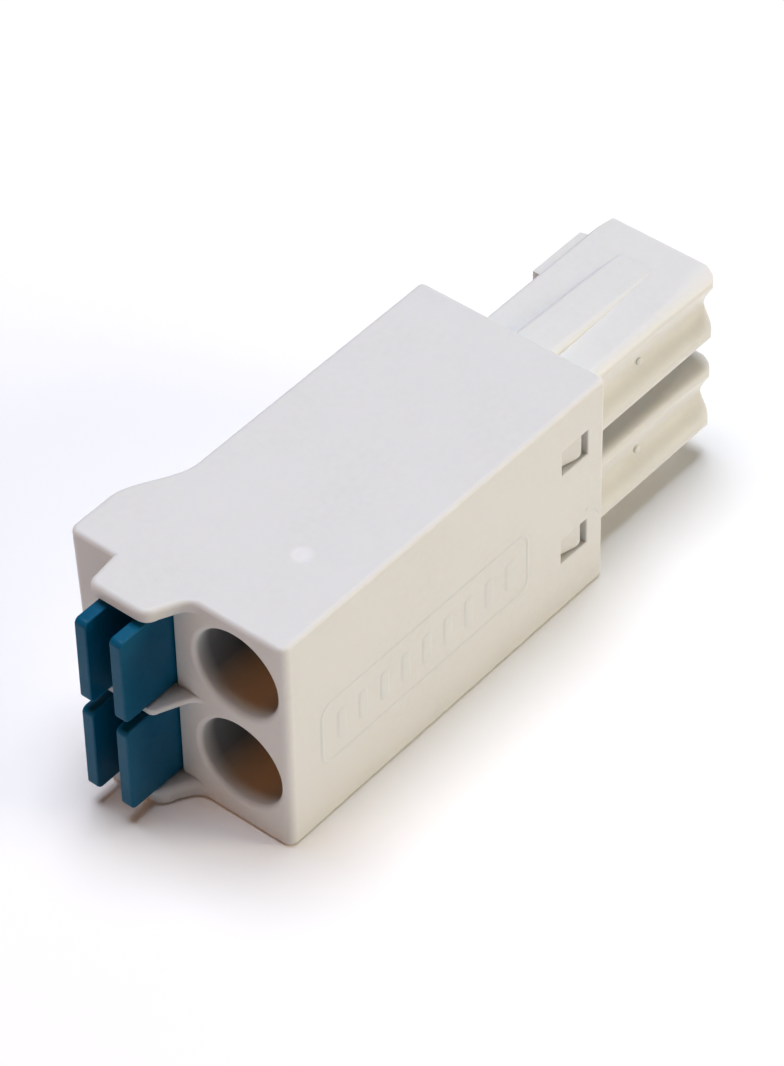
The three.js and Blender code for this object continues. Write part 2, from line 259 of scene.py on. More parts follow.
# ---------------------------------------------------------------- mesh helpers

SAME_POINT = 1e-4
MERGE_DISTANCE = 1e-5
FLAT_ANGLE = math.radians(0.5)
CREASE_ANGLE = math.radians(45)
FACE_AREA_WEIGHT = 100
SHARPEST_MITRE = 0.5


def arc(centre, radius, start, end, steps):
    """Points on a circle, with the angles in degrees."""
    points = []
    for i in range(steps + 1):
        angle = math.radians(start + (end - start) * i / steps)
        points.append((centre[0] + radius * math.cos(angle), centre[1] + radius * math.sin(angle)))
    return points


def bezier(a, b, c, d, steps):
    """Points after the first on a cubic Bezier curve."""
    points = []
    for i in range(1, steps + 1):
        t = i / steps
        s = 1 - t
        weights = (s**3, 3 * s * s * t, 3 * s * t * t, t**3)
        points.append(tuple(sum(w * p[k] for w, p in zip(weights, (a, b, c, d))) for k in range(2)))
    return points


def quadratic(a, b, c, steps):
    """Points after the first on a quadratic Bezier curve."""
    early, late = [tuple((end[k] + 2 * b[k]) / 3 for k in range(2)) for end in (a, c)]
    return bezier(a, early, late, c, steps)


def rounded_rectangle(a, b, radius, steps=8):
    """The outline of a rectangle with round corners, from its two ranges."""
    corners = (
        (a[1] - radius, b[0] + radius, -90),
        (a[1] - radius, b[1] - radius, 0),
        (a[0] + radius, b[1] - radius, 90),
        (a[0] + radius, b[0] + radius, 180),
    )
    points = []
    for x, y, start in corners:
        points += arc((x, y), radius, start, start + 90, steps)
    return points


def centred(middle, size):
    """The range of a size about its middle."""
    return (middle - size / 2, middle + size / 2)


def tidy_outline(points):
    """The outline without a point that repeats its neighbour."""
    kept = []
    for i, point in enumerate(points):
        after = points[(i + 1) % len(points)]
        if math.dist(point, after) > SAME_POINT:
            kept.append(point)
    return kept


def inset(outline, distance):
    """An anticlockwise outline moved inwards by a distance."""
    moved = []
    for i, point in enumerate(outline):
        here = Vector(point)
        before = (here - Vector(outline[i - 1])).normalized()
        after = (Vector(outline[(i + 1) % len(outline)]) - here).normalized()
        side = Vector((-before.y, before.x))
        inward = (side + Vector((-after.y, after.x))).normalized()
        moved.append(tuple(here + inward * distance / max(inward.dot(side), SHARPEST_MITRE)))
    return moved


def add_object(name, bm):
    """A piece in the scene made from a bmesh, with its faces pointing out."""
    bmesh.ops.recalc_face_normals(bm, faces=bm.faces)
    mesh = bpy.data.meshes.new(name)
    bm.to_mesh(mesh)
    bm.free()
    piece = bpy.data.objects.new(name, mesh)
    bpy.context.scene.collection.objects.link(piece)
    return piece


def discard(piece):
    """Removes a piece that was only a tool, with its mesh."""
    mesh = piece.data
    bpy.data.objects.remove(piece)
    bpy.data.meshes.remove(mesh)


def add_band(bm, low, high):
    """A band of faces between two rings with the same number of points."""
    for i in range(len(low)):
        j = (i + 1) % len(low)
        bm.faces.new((low[i], low[j], high[j], high[i]))


def add_closed_loft(bm, rings):
    """A closed body through rings of points."""
    rows = [[bm.verts.new(point) for point in ring] for ring in rings]
    for low, high in zip(rows, rows[1:]):
        add_band(bm, low, high)
    bm.faces.new(rows[0])
    bm.faces.new(rows[-1])


def loft(name, rings):
    """A closed solid through rings with the same number of points. Points that coincide are merged."""
    bm = bmesh.new()
    add_closed_loft(bm, rings)
    bmesh.ops.remove_doubles(bm, verts=bm.verts, dist=MERGE_DISTANCE)
    return add_object(name, bm)


def plate(name, outline, z0, z1):
    """A plan outline (x, y) raised from z0 to z1."""
    points = tidy_outline(outline)
    return loft(name, [[(x, y, z) for x, y in points] for z in (z0, z1)])


def rounded_plate(name, outline_at, z0, z1, rims, steps=6):
    """A plate with its lower and upper rims rounded. outline_at(z) gives its plan at a height."""
    levels = []
    for i in range(steps + 1):
        angle = math.pi / 2 * i / steps
        levels.append((z0 + rims[0] * (1 - math.cos(angle)), rims[0] * (1 - math.sin(angle))))
    for i in range(steps + 1):
        angle = math.pi / 2 * i / steps
        levels.append((z1 - rims[1] * (1 - math.sin(angle)), rims[1] * (1 - math.cos(angle))))
    return loft(name, [[(x, y, z) for x, y in inset(outline_at(z), depth)] for z, depth in levels])


def slab(name, outline, y0, y1):
    """A side outline (x, z) carried along Y."""
    points = tidy_outline(outline)
    return loft(name, [[(x, y, z) for x, z in points] for y in (y0, y1)])


def block(x, y, z):
    """A box from its three ranges."""
    return plate("block", [(x[0], y[0]), (x[1], y[0]), (x[1], y[1]), (x[0], y[1])], z[0], z[1])


def lathe(name, profile, y, z, steps=96):
    """A profile (x, radius) turned about an axis along X."""
    rings = []
    for x, radius in profile:
        rings.append([(x, y + p, z + q) for p, q in arc((0, 0), radius, 0, 360, steps)[:-1]])
    return loft(name, rings)


def ellipsoid(centre, radii):
    """A ball stretched to a radius along each axis."""
    bm = bmesh.new()
    bmesh.ops.create_icosphere(bm, subdivisions=4, radius=1.0)
    for vertex in bm.verts:
        vertex.co = Vector([c + v * r for c, v, r in zip(centre, vertex.co, radii)])
    return add_object("ellipsoid", bm)


def bake_modifiers(piece):
    """Replaces a piece's mesh with what its modifiers make of it."""
    graph = bpy.context.evaluated_depsgraph_get()
    mesh = bpy.data.meshes.new_from_object(piece.evaluated_get(graph))
    piece.modifiers.clear()
    old = piece.data
    piece.data = mesh
    bpy.data.meshes.remove(old)


def combine(piece, operation, *tools):
    """Joins or cuts the piece with each tool in turn, and removes the tools."""
    for tool in tools:
        modifier = piece.modifiers.new("combine", "BOOLEAN")
        modifier.operation = operation
        modifier.solver = "EXACT"
        modifier.object = tool
        bake_modifiers(piece)
        discard(tool)


def gather(name, parts):
    """Closed bodies kept apart in one mesh."""
    bm = bmesh.new()
    for part in parts:
        bm.from_mesh(part.data)
        discard(part)
    return add_object(name, bm)


def merge_flat_faces(piece):
    """Joins the faces that lie in one plane, which booleans leave in pieces."""
    bm = bmesh.new()
    bm.from_mesh(piece.data)
    bmesh.ops.remove_doubles(bm, verts=bm.verts, dist=SAME_POINT)
    bmesh.ops.dissolve_limit(bm, angle_limit=FLAT_ANGLE, verts=bm.verts, edges=bm.edges)
    bm.to_mesh(piece.data)
    bm.free()


def round_edges(piece, radius, segments, where=None, sharper_than=32):
    """Rounds the edges that turn by more than an angle in degrees.

    Where a test of a point is given, only the edges with both ends inside it are rounded.
    """
    merge_flat_faces(piece)
    bm = bmesh.new()
    bm.from_mesh(piece.data)
    limit = math.radians(sharper_than)
    edges = [e for e in bm.edges if len(e.link_faces) == 2 and e.calc_face_angle() > limit]
    if where:
        edges = [e for e in edges if all(where(v.co) for v in e.verts)]
    bmesh.ops.bevel(
        bm,
        geom=edges,
        offset=radius,
        offset_type="OFFSET",
        segments=segments,
        profile=0.5,
        affect="EDGES",
        clamp_overlap=False,
    )
    bm.to_mesh(piece.data)
    bm.free()


def settle(piece, body, slot, material, *replaced):
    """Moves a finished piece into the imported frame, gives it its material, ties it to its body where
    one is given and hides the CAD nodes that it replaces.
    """
    for vertex in piece.data.vertices:
        vertex.co = vertex.co * MM + ORIGIN
    for polygon in piece.data.polygons:
        polygon.use_smooth = True
    piece.data.set_sharp_from_angle(angle=CREASE_ANGLE)
    piece.data.materials.clear()
    piece.data.materials.append(material)
    normals = piece.modifiers.new("normals", "WEIGHTED_NORMAL")
    normals.weight = FACE_AREA_WEIGHT
    normals.keep_sharp = True
    if body:
        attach(piece, body)
    if replaced:
        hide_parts(*replaced)


# ---------------------------------------------------------------- material helpers

SCREEN_GAMMA = 2.2
NOISE_RANGE = (0.3, 0.7)


def node(tree, kind, **inputs):
    """A shader node with its constant inputs set by name."""
    made = tree.nodes.new(kind)
    for key, value in inputs.items():
        made.inputs[key.replace("_", " ")].default_value = value
    return made


def connect(tree, value, socket):
    """Feeds a socket with another node's output, or sets it to a constant."""
    if isinstance(value, bpy.types.NodeSocket):
        tree.links.new(value, socket)
    else:
        socket.default_value = value


def maths(tree, kind, operation, *values):
    """The result of a maths node."""
    made = tree.nodes.new(kind)
    made.operation = operation
    for socket, value in zip(made.inputs, values):
        connect(tree, value, socket)
    return next(output for output in made.outputs if output.enabled)


def linear(red, green, blue):
    """A colour given as 0-255 screen values, in the linear values that a shader takes."""
    return tuple(((c / 255) ** SCREEN_GAMMA) for c in (red, green, blue)) + (1.0,)


def object_place(tree):
    """The place of a point in its object, in metres."""
    return tree.nodes.new("ShaderNodeTexCoord").outputs["Object"]


def new_material(name):
    """A new material, with its node tree, its shader and the place of a point."""
    material = bpy.data.materials.new(name)
    material.use_nodes = True
    tree = material.node_tree
    return material, tree, tree.nodes["Principled BSDF"], object_place(tree)


def noise(tree, place, millimetres, detail, roughness=0.5):
    """Noise with features of about a size."""
    scale = 1 / (millimetres * MM)
    texture = node(tree, "ShaderNodeTexNoise", Scale=scale, Detail=detail, Roughness=roughness)
    tree.links.new(place, texture.inputs["Vector"])
    return texture.outputs["Fac"]


def spread(tree, value, low, high):
    """The noise value stretched over a range."""
    ramp = node(tree, "ShaderNodeMapRange", To_Min=low, To_Max=high)
    ramp.inputs["From Min"].default_value, ramp.inputs["From Max"].default_value = NOISE_RANGE
    tree.links.new(value, ramp.inputs["Value"])
    return ramp.outputs["Result"]


def fade_between(tree, value, start, end, curve="LINEAR"):
    """0 to 1 as the value runs from start to end."""
    fade = node(tree, "ShaderNodeMapRange", From_Min=start, From_Max=end)
    fade.interpolation_type = curve
    tree.links.new(value, fade.inputs["Value"])
    return fade.outputs["Result"]


def blend_colours(tree, factor, first, second):
    """A colour between two others, each a constant or another node's output."""
    mix = tree.nodes.new("ShaderNodeMix")
    mix.data_type = "RGBA"
    connect(tree, first, mix.inputs[6])
    connect(tree, second, mix.inputs[7])
    tree.links.new(factor, mix.inputs["Factor"])
    return mix.outputs[2]


def tint_over(material, factor, colour):
    """Blends a colour over the material's own colour."""
    tree = material.node_tree
    base = tree.nodes["Principled BSDF"].inputs["Base Color"]
    own = base.links[0].from_socket
    tree.links.new(blend_colours(tree, factor, own, colour), base)


def bump(tree, height, distance_mm, strength, normal=None):
    """A normal tilted by a height, on top of another bump where one is given."""
    made = node(tree, "ShaderNodeBump", Distance=distance_mm * MM, Strength=strength)
    tree.links.new(height, made.inputs["Height"])
    if normal:
        tree.links.new(normal, made.inputs["Normal"])
    return made.outputs["Normal"]


# ---------------------------------------------------------------- materials

# The sizes of their features are in millimetres.

PLASTIC_CLOUDS = 3.5
PLASTIC_SPECKS = 0.35
PLASTIC_WEAR = 1.2
PLASTIC_SINKS = 5.0
PLASTIC_ROUGHNESS_RANGE = (-0.06, 0.08)
GLOW_COLOUR = (1.0, 0.62, 0.36)
GLOW_DEPTH = 0.4
PALE_SPOT_CORE = 0.5
# Painted light in the wire entries: brown painted warm bounce light low down, grey painted shade above.
PAINTED_ENTRY_BOUNCE_LIGHT = (0.72, 0.55, 0.38, 1.0)
PAINTED_ENTRY_SHADE_GREY = (0.19, 0.2, 0.21, 1.0)
METAL_STREAKS = 0.12
METAL_CLOUDS = 1.5
METAL_ROUGHNESS_RANGE = (-0.07, 0.1)
PAPER_CLOUDS = 60.0
PAPER_FIBRES = 0.8


def moulded_plastic(name, light, dark, roughness, glow, grain, sheen=0.4):
    """Moulded plastic: clouded tint, fine spark-eroded grain, faint sink waves and a soft glow inside."""
    material, tree, shader, place = new_material(name)
    clouds = spread(tree, noise(tree, place, PLASTIC_CLOUDS, detail=3), 0.0, 1.0)
    specks = spread(tree, noise(tree, place, PLASTIC_SPECKS, detail=4), 0.0, 1.0)
    tint = blend_colours(tree, clouds, light, dark)
    tree.links.new(blend_colours(tree, specks, tint, light), shader.inputs["Base Color"])
    wear = noise(tree, place, PLASTIC_WEAR, detail=5, roughness=0.6)
    smoothest, roughest = [roughness + change for change in PLASTIC_ROUGHNESS_RANGE]
    rough = spread(tree, wear, smoothest, roughest)
    tree.links.new(rough, shader.inputs["Roughness"])
    sinks = noise(tree, place, PLASTIC_SINKS, detail=1)
    waves = bump(tree, sinks, distance_mm=0.05, strength=0.3)
    sparks = noise(tree, place, grain, detail=4, roughness=0.6)
    surface = bump(tree, sparks, distance_mm=0.01, strength=0.4, normal=waves)
    tree.links.new(surface, shader.inputs["Normal"])
    shader.inputs["Subsurface Weight"].default_value = glow
    shader.inputs["Subsurface Radius"].default_value = GLOW_COLOUR
    shader.inputs["Subsurface Scale"].default_value = GLOW_DEPTH * MM
    shader.inputs["Specular IOR Level"].default_value = sheen
    return material


def add_pale_gate_spot(material, centre, radius, colour):
    """A paler spot blended over the plastic's colour round the gate of its mould."""
    tree = material.node_tree
    distance = maths(tree, "ShaderNodeVectorMath", "DISTANCE", object_place(tree), centre)
    amount = fade_between(tree, distance, radius, PALE_SPOT_CORE * radius, "SMOOTHSTEP")
    tint_over(material, amount, colour)


def inside_entries(tree, place):
    """1 near the axes of the wire entries and 0 elsewhere: where the painted shade goes."""
    across = maths(tree, "ShaderNodeVectorMath", "MULTIPLY", place, (0.0, 1.0, 1.0))
    axes = [(0.0, WIRE_Y * MM + ORIGIN.y, z * MM) for z in POLES.values()]
    distances = [maths(tree, "ShaderNodeVectorMath", "DISTANCE", across, axis) for axis in axes]
    nearest = maths(tree, "ShaderNodeMath", "MINIMUM", *distances)
    radius = (FUNNEL_MOUTH + PAINTED_ENTRY_SHADE_MARGIN) * MM
    return maths(tree, "ShaderNodeMath", "LESS_THAN", nearest, radius)


def entry_depth(tree, x):
    """How far the painted shade has come in: 0 at the mouth of the wire entries and 1 a little way down
    them.
    """
    start, end = [ORIGIN.x + depth * MM for depth in PAINTED_ENTRY_SHADE_DEPTH]
    return fade_between(tree, x, start, end)


def entry_height(tree, z):
    """0 at the bottom of a wire entry and 1 higher up. The poles share the height in equal bands."""
    low, high = sorted(POLES.values())
    pitch = (high - low) * MM
    above = maths(tree, "ShaderNodeMath", "SUBTRACT", z, low * MM - pitch / 2)
    in_band = maths(tree, "ShaderNodeMath", "MODULO", above, pitch)
    start, end = [pitch / 2 + height * MM for height in PAINTED_ENTRY_SHADE_HEIGHT]
    return fade_between(tree, in_band, start, end)


def paint_shade_in_wire_entries(material):
    """Paints shade into the plastic down the wire entries: a brown painted warm bounce light at the
    bottom and a grey painted shade above.
    """
    tree = material.node_tree
    place = object_place(tree)
    axes = tree.nodes.new("ShaderNodeSeparateXYZ")
    tree.links.new(place, axes.inputs[0])
    height = entry_height(tree, axes.outputs["Z"])
    painted_entry_colour = blend_colours(tree, height, PAINTED_ENTRY_BOUNCE_LIGHT, PAINTED_ENTRY_SHADE_GREY)
    depth = entry_depth(tree, axes.outputs["X"])
    amount = maths(tree, "ShaderNodeMath", "MULTIPLY", depth, inside_entries(tree, place))
    tint_over(material, amount, painted_entry_colour)


def rolled_metal(name, light, dark, roughness, streak):
    """Rolled strip metal: fine streaks along one direction over a clouded tint."""
    material, tree, shader, place = new_material(name)
    mapping = node(tree, "ShaderNodeMapping", Scale=streak)
    tree.links.new(place, mapping.inputs["Vector"])
    lines = noise(tree, mapping.outputs["Vector"], METAL_STREAKS, detail=5, roughness=0.65)
    streaks = spread(tree, lines, 0.0, 1.0)
    clouds = spread(tree, noise(tree, place, METAL_CLOUDS, detail=3), 0.0, 1.0)
    tint = blend_colours(tree, clouds, light, dark)
    tree.links.new(blend_colours(tree, streaks, tint, dark), shader.inputs["Base Color"])
    smoothest, roughest = [roughness + change for change in METAL_ROUGHNESS_RANGE]
    rough = spread(tree, streaks, smoothest, roughest)
    tree.links.new(rough, shader.inputs["Roughness"])
    surface = bump(tree, streaks, distance_mm=0.006, strength=0.5)
    tree.links.new(surface, shader.inputs["Normal"])
    shader.inputs["Metallic"].default_value = 1.0
    return material


def floor_paper():
    """Matt studio paper, nearly white."""
    material, tree, shader, place = new_material("floor_paper")
    clouds = spread(tree, noise(tree, place, PAPER_CLOUDS, detail=3), 0.0, 1.0)
    tint = blend_colours(tree, clouds, linear(253, 251, 249), linear(252, 250, 247))
    tree.links.new(tint, shader.inputs["Base Color"])
    fibres = bump(tree, noise(tree, place, PAPER_FIBRES, detail=6), distance_mm=0.02, strength=0.15)
    tree.links.new(fibres, shader.inputs["Normal"])
    shader.inputs["Roughness"].default_value = 0.85
    return material


HOUSING_PLASTIC = moulded_plastic(
    "housing_plastic",
    light=linear(216, 214, 211),
    dark=linear(212, 210, 206),
    roughness=0.5,
    glow=0.15,
    grain=0.16,
)
CARRIER_PLASTIC = moulded_plastic(
    "carrier_plastic",
    light=linear(219, 217, 213),
    dark=linear(215, 213, 208),
    roughness=0.47,
    glow=0.15,
    grain=0.16,
)
SLIDER_PLASTIC = moulded_plastic(
    "slider_plastic",
    light=linear(0, 84, 114),
    dark=linear(0, 77, 105),
    roughness=0.36,
    glow=0.0,
    grain=0.12,
    sheen=0.12,
)
SPRING_STEEL = rolled_metal(
    "spring_steel",
    light=linear(196, 198, 200),
    dark=linear(160, 162, 165),
    roughness=0.3,
    streak=(1.0, 1.0, 12.0),
)
COPPER_ALLOY = rolled_metal(
    "copper_alloy",
    light=linear(222, 178, 118),
    dark=linear(190, 146, 92),
    roughness=0.34,
    streak=(1.0, 1.0, 10.0),
)
TINNED_CONTACT = rolled_metal(
    "tinned_contact",
    light=linear(214, 213, 208),
    dark=linear(186, 185, 180),
    roughness=0.38,
    streak=(0.2, 1.0, 1.0),
)
GATE_PLACE = Vector((*GATE, HEIGHT)) * MM + ORIGIN
add_pale_gate_spot(HOUSING_PLASTIC, GATE_PLACE, GATE_PALE_SPOT * MM, linear(224, 222, 220))
# Painted shade and painted bounce light down the wire entries, not a colour of the plastic.
paint_shade_in_wire_entries(HOUSING_PLASTIC)

# ---------------------------------------------------------------- housing


def housing_outline(drop):
    """The housing's plan. Its far side swells near the front, less so towards the base."""
    run = (BULGE_START - BULGE_END) / 3
    points = arc((LENGTH - REAR_CORNER, RELIEF + REAR_CORNER), REAR_CORNER, -90, 0, steps=8)
    points += arc((LENGTH - REAR_CORNER, WIDTH - REAR_CORNER), REAR_CORNER, 0, 90, steps=8)
    points.append((BULGE_START, WIDTH))
    points += bezier(
        (BULGE_START, WIDTH),
        (BULGE_START - run, WIDTH),
        (BULGE_END + run, FRONT_WIDTH),
        (BULGE_END, FRONT_WIDTH),
        steps=24,
    )
    points += arc((FRONT_CORNER, FRONT_WIDTH - FRONT_CORNER), FRONT_CORNER, 90, 180, steps=10)
    points += arc((FRONT_CORNER, RELIEF + FRONT_CORNER), FRONT_CORNER, 180, 270, steps=10)
    leaned = []
    for x, y in tidy_outline(points):
        swell = max(0.0, (y - WIDTH) / (FRONT_WIDTH - WIDTH))
        leaned.append((x, y - swell * drop * BULGE_LEAN))
    return leaned


def shelf_outline(level):
    """Plan of a shelf, joined to the wire entry face by a wide fillet at its inner side."""
    reach, radius = level["reach"], level["round"]
    fillet_x, fillet_y = SHELF_FILLET
    root = EDGE_ROUND + max(level["rims"]) + SHELF_ROOT
    outer = SHELF_OUTER_Y - SHELF_DRAFT
    points = [(root, SHELF_OUTER_Y), (0, SHELF_OUTER_Y), (radius - reach, outer)]
    points += quadratic(points[-1], (-reach, outer), (-reach, outer - radius), steps=10)
    points.append((-reach, SHELF_CORNER_Y + radius))
    corner = (radius - reach, SHELF_CORNER_Y - SHELF_CORNER_SLANT * radius)
    points += quadratic(points[-1], (-reach, SHELF_CORNER_Y), corner, steps=10)
    fillet = (-fillet_x, SHELF_INNER_Y + fillet_x * (corner[1] - SHELF_INNER_Y) / -corner[0])
    points.append(fillet)
    points += quadratic(fillet, (0, SHELF_INNER_Y), (0, SHELF_INNER_Y - fillet_y), steps=12)
    points.append((root, SHELF_INNER_Y - fillet_y))
    return tidy_outline(points)


def shelf(level):
    """A shelf that reaches forward over, between or under the sliders.

    It is sunk a few microns below the housing's top and base, so that no two faces share a plane.
    """
    outline = shelf_outline(level)
    bottom = max(level["bottom"], SHELF_SINK)
    top = min(level["top"], HEIGHT - SHELF_SINK)
    return rounded_plate("shelf", lambda z: outline, bottom, top, level["rims"])


def channel(level):
    """The space for one slider. Its outer side flares at the mouth."""
    y0, y1 = CHANNEL_Y
    end = FRONT_BLOCK + OVERCUT
    outline = [(CHANNEL_FRONT, y0), (end, y0), (end, y1), (CHANNEL_FLARE, y1)]
    outline += quadratic(outline[-1], (0, y1), (0, y1 + CHANNEL_FLARE), steps=10)
    outline.append((CHANNEL_FRONT, y1 + CHANNEL_FLARE))
    return plate("channel", outline, SHELVES[level]["top"], SHELVES[level + 1]["bottom"])


def wire_funnel(z):
    """The space of one wire entry: rounded lip, straight mouth, cone and throat."""
    lip_radius = FUNNEL_MOUTH + FUNNEL_LIP
    profile = [(-PAST_WALL, lip_radius)]
    profile += arc((FUNNEL_LIP, lip_radius), FUNNEL_LIP, 180, 270, steps=8)
    profile += [
        (FUNNEL_STRAIGHT, FUNNEL_MOUTH),
        (FUNNEL_STRAIGHT + FUNNEL_SHOULDER[0], FUNNEL_MOUTH - FUNNEL_SHOULDER[1]),
        (FRONT_BLOCK - THROAT_EASE_START, FUNNEL_THROAT + THROAT_EASE),
        (FRONT_BLOCK - THROAT_START, FUNNEL_THROAT),
        (FRONT_BLOCK + OVERCUT, FUNNEL_THROAT),
    ]
    return lathe("funnel", profile, WIRE_Y, z)


def mark_gates(shell):
    """The shallow dish and nub that the moulding gate leaves, and a second fainter dish."""
    combine(shell, "DIFFERENCE", ellipsoid((*GATE, HEIGHT + DISH_LIFT), GATE_DISH))
    combine(shell, "DIFFERENCE", ellipsoid((*SPOT, HEIGHT + DISH_LIFT), SPOT_DISH))
    combine(shell, "UNION", ellipsoid((*GATE, HEIGHT - GATE_NUB_SINK), GATE_NUB))


def on_window_or_rear_mouth(point):
    """Whether a point is on the housing's openings near its back, away from its outer rims."""
    top = HEIGHT - EDGE_ROUND - REAR_OPENINGS_RIM
    return point.x > REAR_OPENINGS_X and BAY_Z[0] / 2 < point.z < top


def housing_shell():
    """The housing: a rounded box with shelves, hollowed out for what it holds."""

    def plan(z):
        return housing_outline(1 - z / HEIGHT)

    shell = rounded_plate("housing_shell_fine", plan, 0.0, HEIGHT, (EDGE_ROUND, EDGE_ROUND))
    combine(shell, "UNION", *[shelf(level) for level in SHELVES])
    inner_y = (WALL, WIDTH - WALL)
    through_y = (-PAST_WALL, WIDTH + PAST_WALL)
    cuts = [block((BAY_FRONT, LENGTH + PAST_WALL), inner_y, BAY_Z)]
    for level, z in enumerate(POLES.values()):
        span = (SHELVES[level]["top"], SHELVES[level + 1]["bottom"])
        cuts.append(channel(level))
        cuts.append(block((FRONT_BLOCK, BAY_FRONT + OVERCUT), inner_y, span))
        cuts.append(wire_funnel(z))
        cuts.append(block(WINDOW_X, through_y, centred(z + WINDOW_RISE, WINDOW_HEIGHT)))
    combine(shell, "DIFFERENCE", *cuts)
    round_edges(shell, OPENING_EDGE, 3, on_window_or_rear_mouth)
    mark_gates(shell)
    settle(shell, "housing", "housing_plastic", HOUSING_PLASTIC, "housing_shell")


# ---------------------------------------------------------------- plug carrier


def finger_section(top, lip):
    """One finger's cross-section: a rounded lip over a waist on the side that shows."""
    y0, y1 = PLUG_Y
    bottom = top - FINGER_HEIGHT
    level = top - WAIST_DROP
    far, foot = FINGER_FAR_ROUND, FINGER_FOOT
    width, drop = lip
    points = [(y0 + foot, bottom)]
    points += arc((y1 - far, bottom + far), far, -90, 0, steps=6)
    points += arc((y1 - far, top - far), far, 0, 90, steps=6)
    for y, z in arc((1, -1), 1, 90, 180, steps=12):
        points.append((y0 + width * y, top + drop * z))
    waist = (y0 + WAIST, level)
    above, below = (y0 + WAIST, level + LIP[1]), (y0 + WAIST, level - foot)
    points += bezier(points[-1], (y0, top - LIP_FALL * drop), above, waist, steps=16)
    points += bezier(waist, below, (y0, bottom + 2 * foot), (y0, bottom + foot), steps=16)
    points += quadratic(points[-1], (y0, bottom), (y0 + foot, bottom), steps=8)[:-1]
    return points


def finger_limits(x):
    """How far a finger reaches in Y at a place along it: both corners of its tip are drawn in."""
    y0, y1 = PLUG_Y
    near = min(max((x - PLUG_TIP) / TIP_CORNER[0] + 1, 0.0), 1.0)
    far = max((x - PLUG_TIP) / TIP_FAR_CORNER[0] + 1, 0.0)
    return y0 + TIP_CORNER[1] * (1 - math.sqrt(1 - near**2)), y1 - TIP_FAR_CORNER[1] * far


def finger_ring(x, top, depth):
    """A finger's outline at x, drawn in by a depth. The lip grows wider and deeper towards the tip."""
    growth = max(0.0, (x - LEAD_IN_START) / (PLUG_TIP - LEAD_IN_START)) ** 2
    lip = [start + (end - start) * growth for start, end in zip(LIP, TIP_LIP)]
    near, far = finger_limits(x)
    bottom = top - FINGER_HEIGHT
    ring = []
    for y, z in finger_section(top, lip):
        ring.append((x, min(max(y, near + depth), far - depth), min(max(z, bottom + depth), top - depth)))
    return ring


def finger(top):
    """One plug finger, lofted from inside the housing to a rounded tip."""
    places = [(LENGTH - FINGER_ROOT, 0.0), (LEAD_IN_START, 0.0)]
    end = PLUG_TIP - TIP_ROUND
    for i in range(1, LEAD_IN_STEPS + 1):
        share = i / LEAD_IN_STEPS
        places.append((LEAD_IN_START + (end - LEAD_IN_START) * (1 - (1 - share) ** 2), 0.0))
    for x, depth in arc((0, 1), 1, -90, 0, steps=6)[1:]:
        places.append((end + TIP_ROUND * x, TIP_ROUND * (1 - math.sqrt(max(0.0, 1 - x**2)))))
    return loft("finger", [finger_ring(x, top, depth) for x, depth in places])


def latch_nose(middle):
    """The nose on a finger's far side that latches in the mating socket."""
    x0, x1 = LATCH_X
    y1 = PLUG_Y[1]
    outline = [
        (x0, y1 - LATCH_ROOT),
        (x1, y1 - LATCH_ROOT),
        (x1, y1),
        (x1 - LATCH_RAMP, y1 + LATCH_PROUD),
        (x0, y1 + LATCH_PROUD),
    ]
    return plate("latch", outline, *centred(middle, LATCH_HEIGHT))


def snap_catch(z, far_side):
    """A ramped catch that snaps into a housing window."""
    wall_inside = WIDTH - WALL - CLEARANCE if far_side else WALL + CLEARANCE
    out = 1 if far_side else -1
    left, right = WINDOW_X[0] + CATCH_GAP, WINDOW_X[1] - CATCH_END_GAP
    outline = [
        (left, wall_inside - out * CATCH_ROOT),
        (left, wall_inside + out * CATCH_START),
        (right, wall_inside + out * CATCH_PROUD),
        (right, wall_inside - out * CATCH_ROOT),
    ]
    low, high = centred(z + WINDOW_RISE, WINDOW_HEIGHT - 2 * CATCH_GAP)
    catch = plate("catch", outline, low, high)
    round_edges(catch, CATCH_CORNER, 5, lambda point: point.x > right - NEAR and point.z < low + NEAR)
    return catch


def finger_bore(middle):
    """The space for a socket contact in a finger, and its narrower mouth in the tip."""
    space = block((BAY_FRONT, PLUG_TIP - END_WALL), centred(BORE_Y, BORE[0]), centred(middle, BORE[1]))
    mouth_x = (BAY_FRONT, PLUG_TIP + PAST_WALL)
    mouth = block(mouth_x, centred(BORE_Y, MOUTH[0]), centred(middle, MOUTH[1]))
    return space, mouth


def on_catch_or_latch_or_mouth(point):
    """Whether a point is on a part of the carrier whose edges are rounded."""
    inside_walls = WALL + CLEARANCE - NEAR < point.y < WIDTH - WALL - CLEARANCE + NEAR
    catch = point.x < LENGTH and not inside_walls
    latch = point.x > LENGTH and point.y > PLUG_Y[1] + LATCH_PROUD - NEAR
    mouth = point.x > PLUG_TIP - NEAR and abs(point.y - BORE_Y) < MOUTH[0] / 2 + NEAR
    return catch or latch or mouth


def plug_carrier():
    """The insert in the back of the housing, with its fingers, latches, catches and bores."""
    y = (WALL + CLEARANCE, WIDTH - WALL - CLEARANCE)
    z_span = (BAY_Z[0] + CLEARANCE, BAY_Z[1] - CLEARANCE)
    carrier = block((PLUG_START, LENGTH - OVERCUT), y, z_span)
    carrier.name = "plug_carrier_fine"
    for name, z in POLES.items():
        combine(carrier, "UNION", finger(FINGER_TOPS[name]), latch_nose(z + FINGER_LIFT))
        combine(carrier, "UNION", snap_catch(z, False), snap_catch(z, True))
    for z in POLES.values():
        combine(carrier, "DIFFERENCE", *finger_bore(z + FINGER_LIFT))
    round_edges(carrier, CARRIER_EDGE, 3, on_catch_or_latch_or_mouth)
    settle(carrier, "housing", "carrier_plastic", CARRIER_PLASTIC, "plug_carrier")


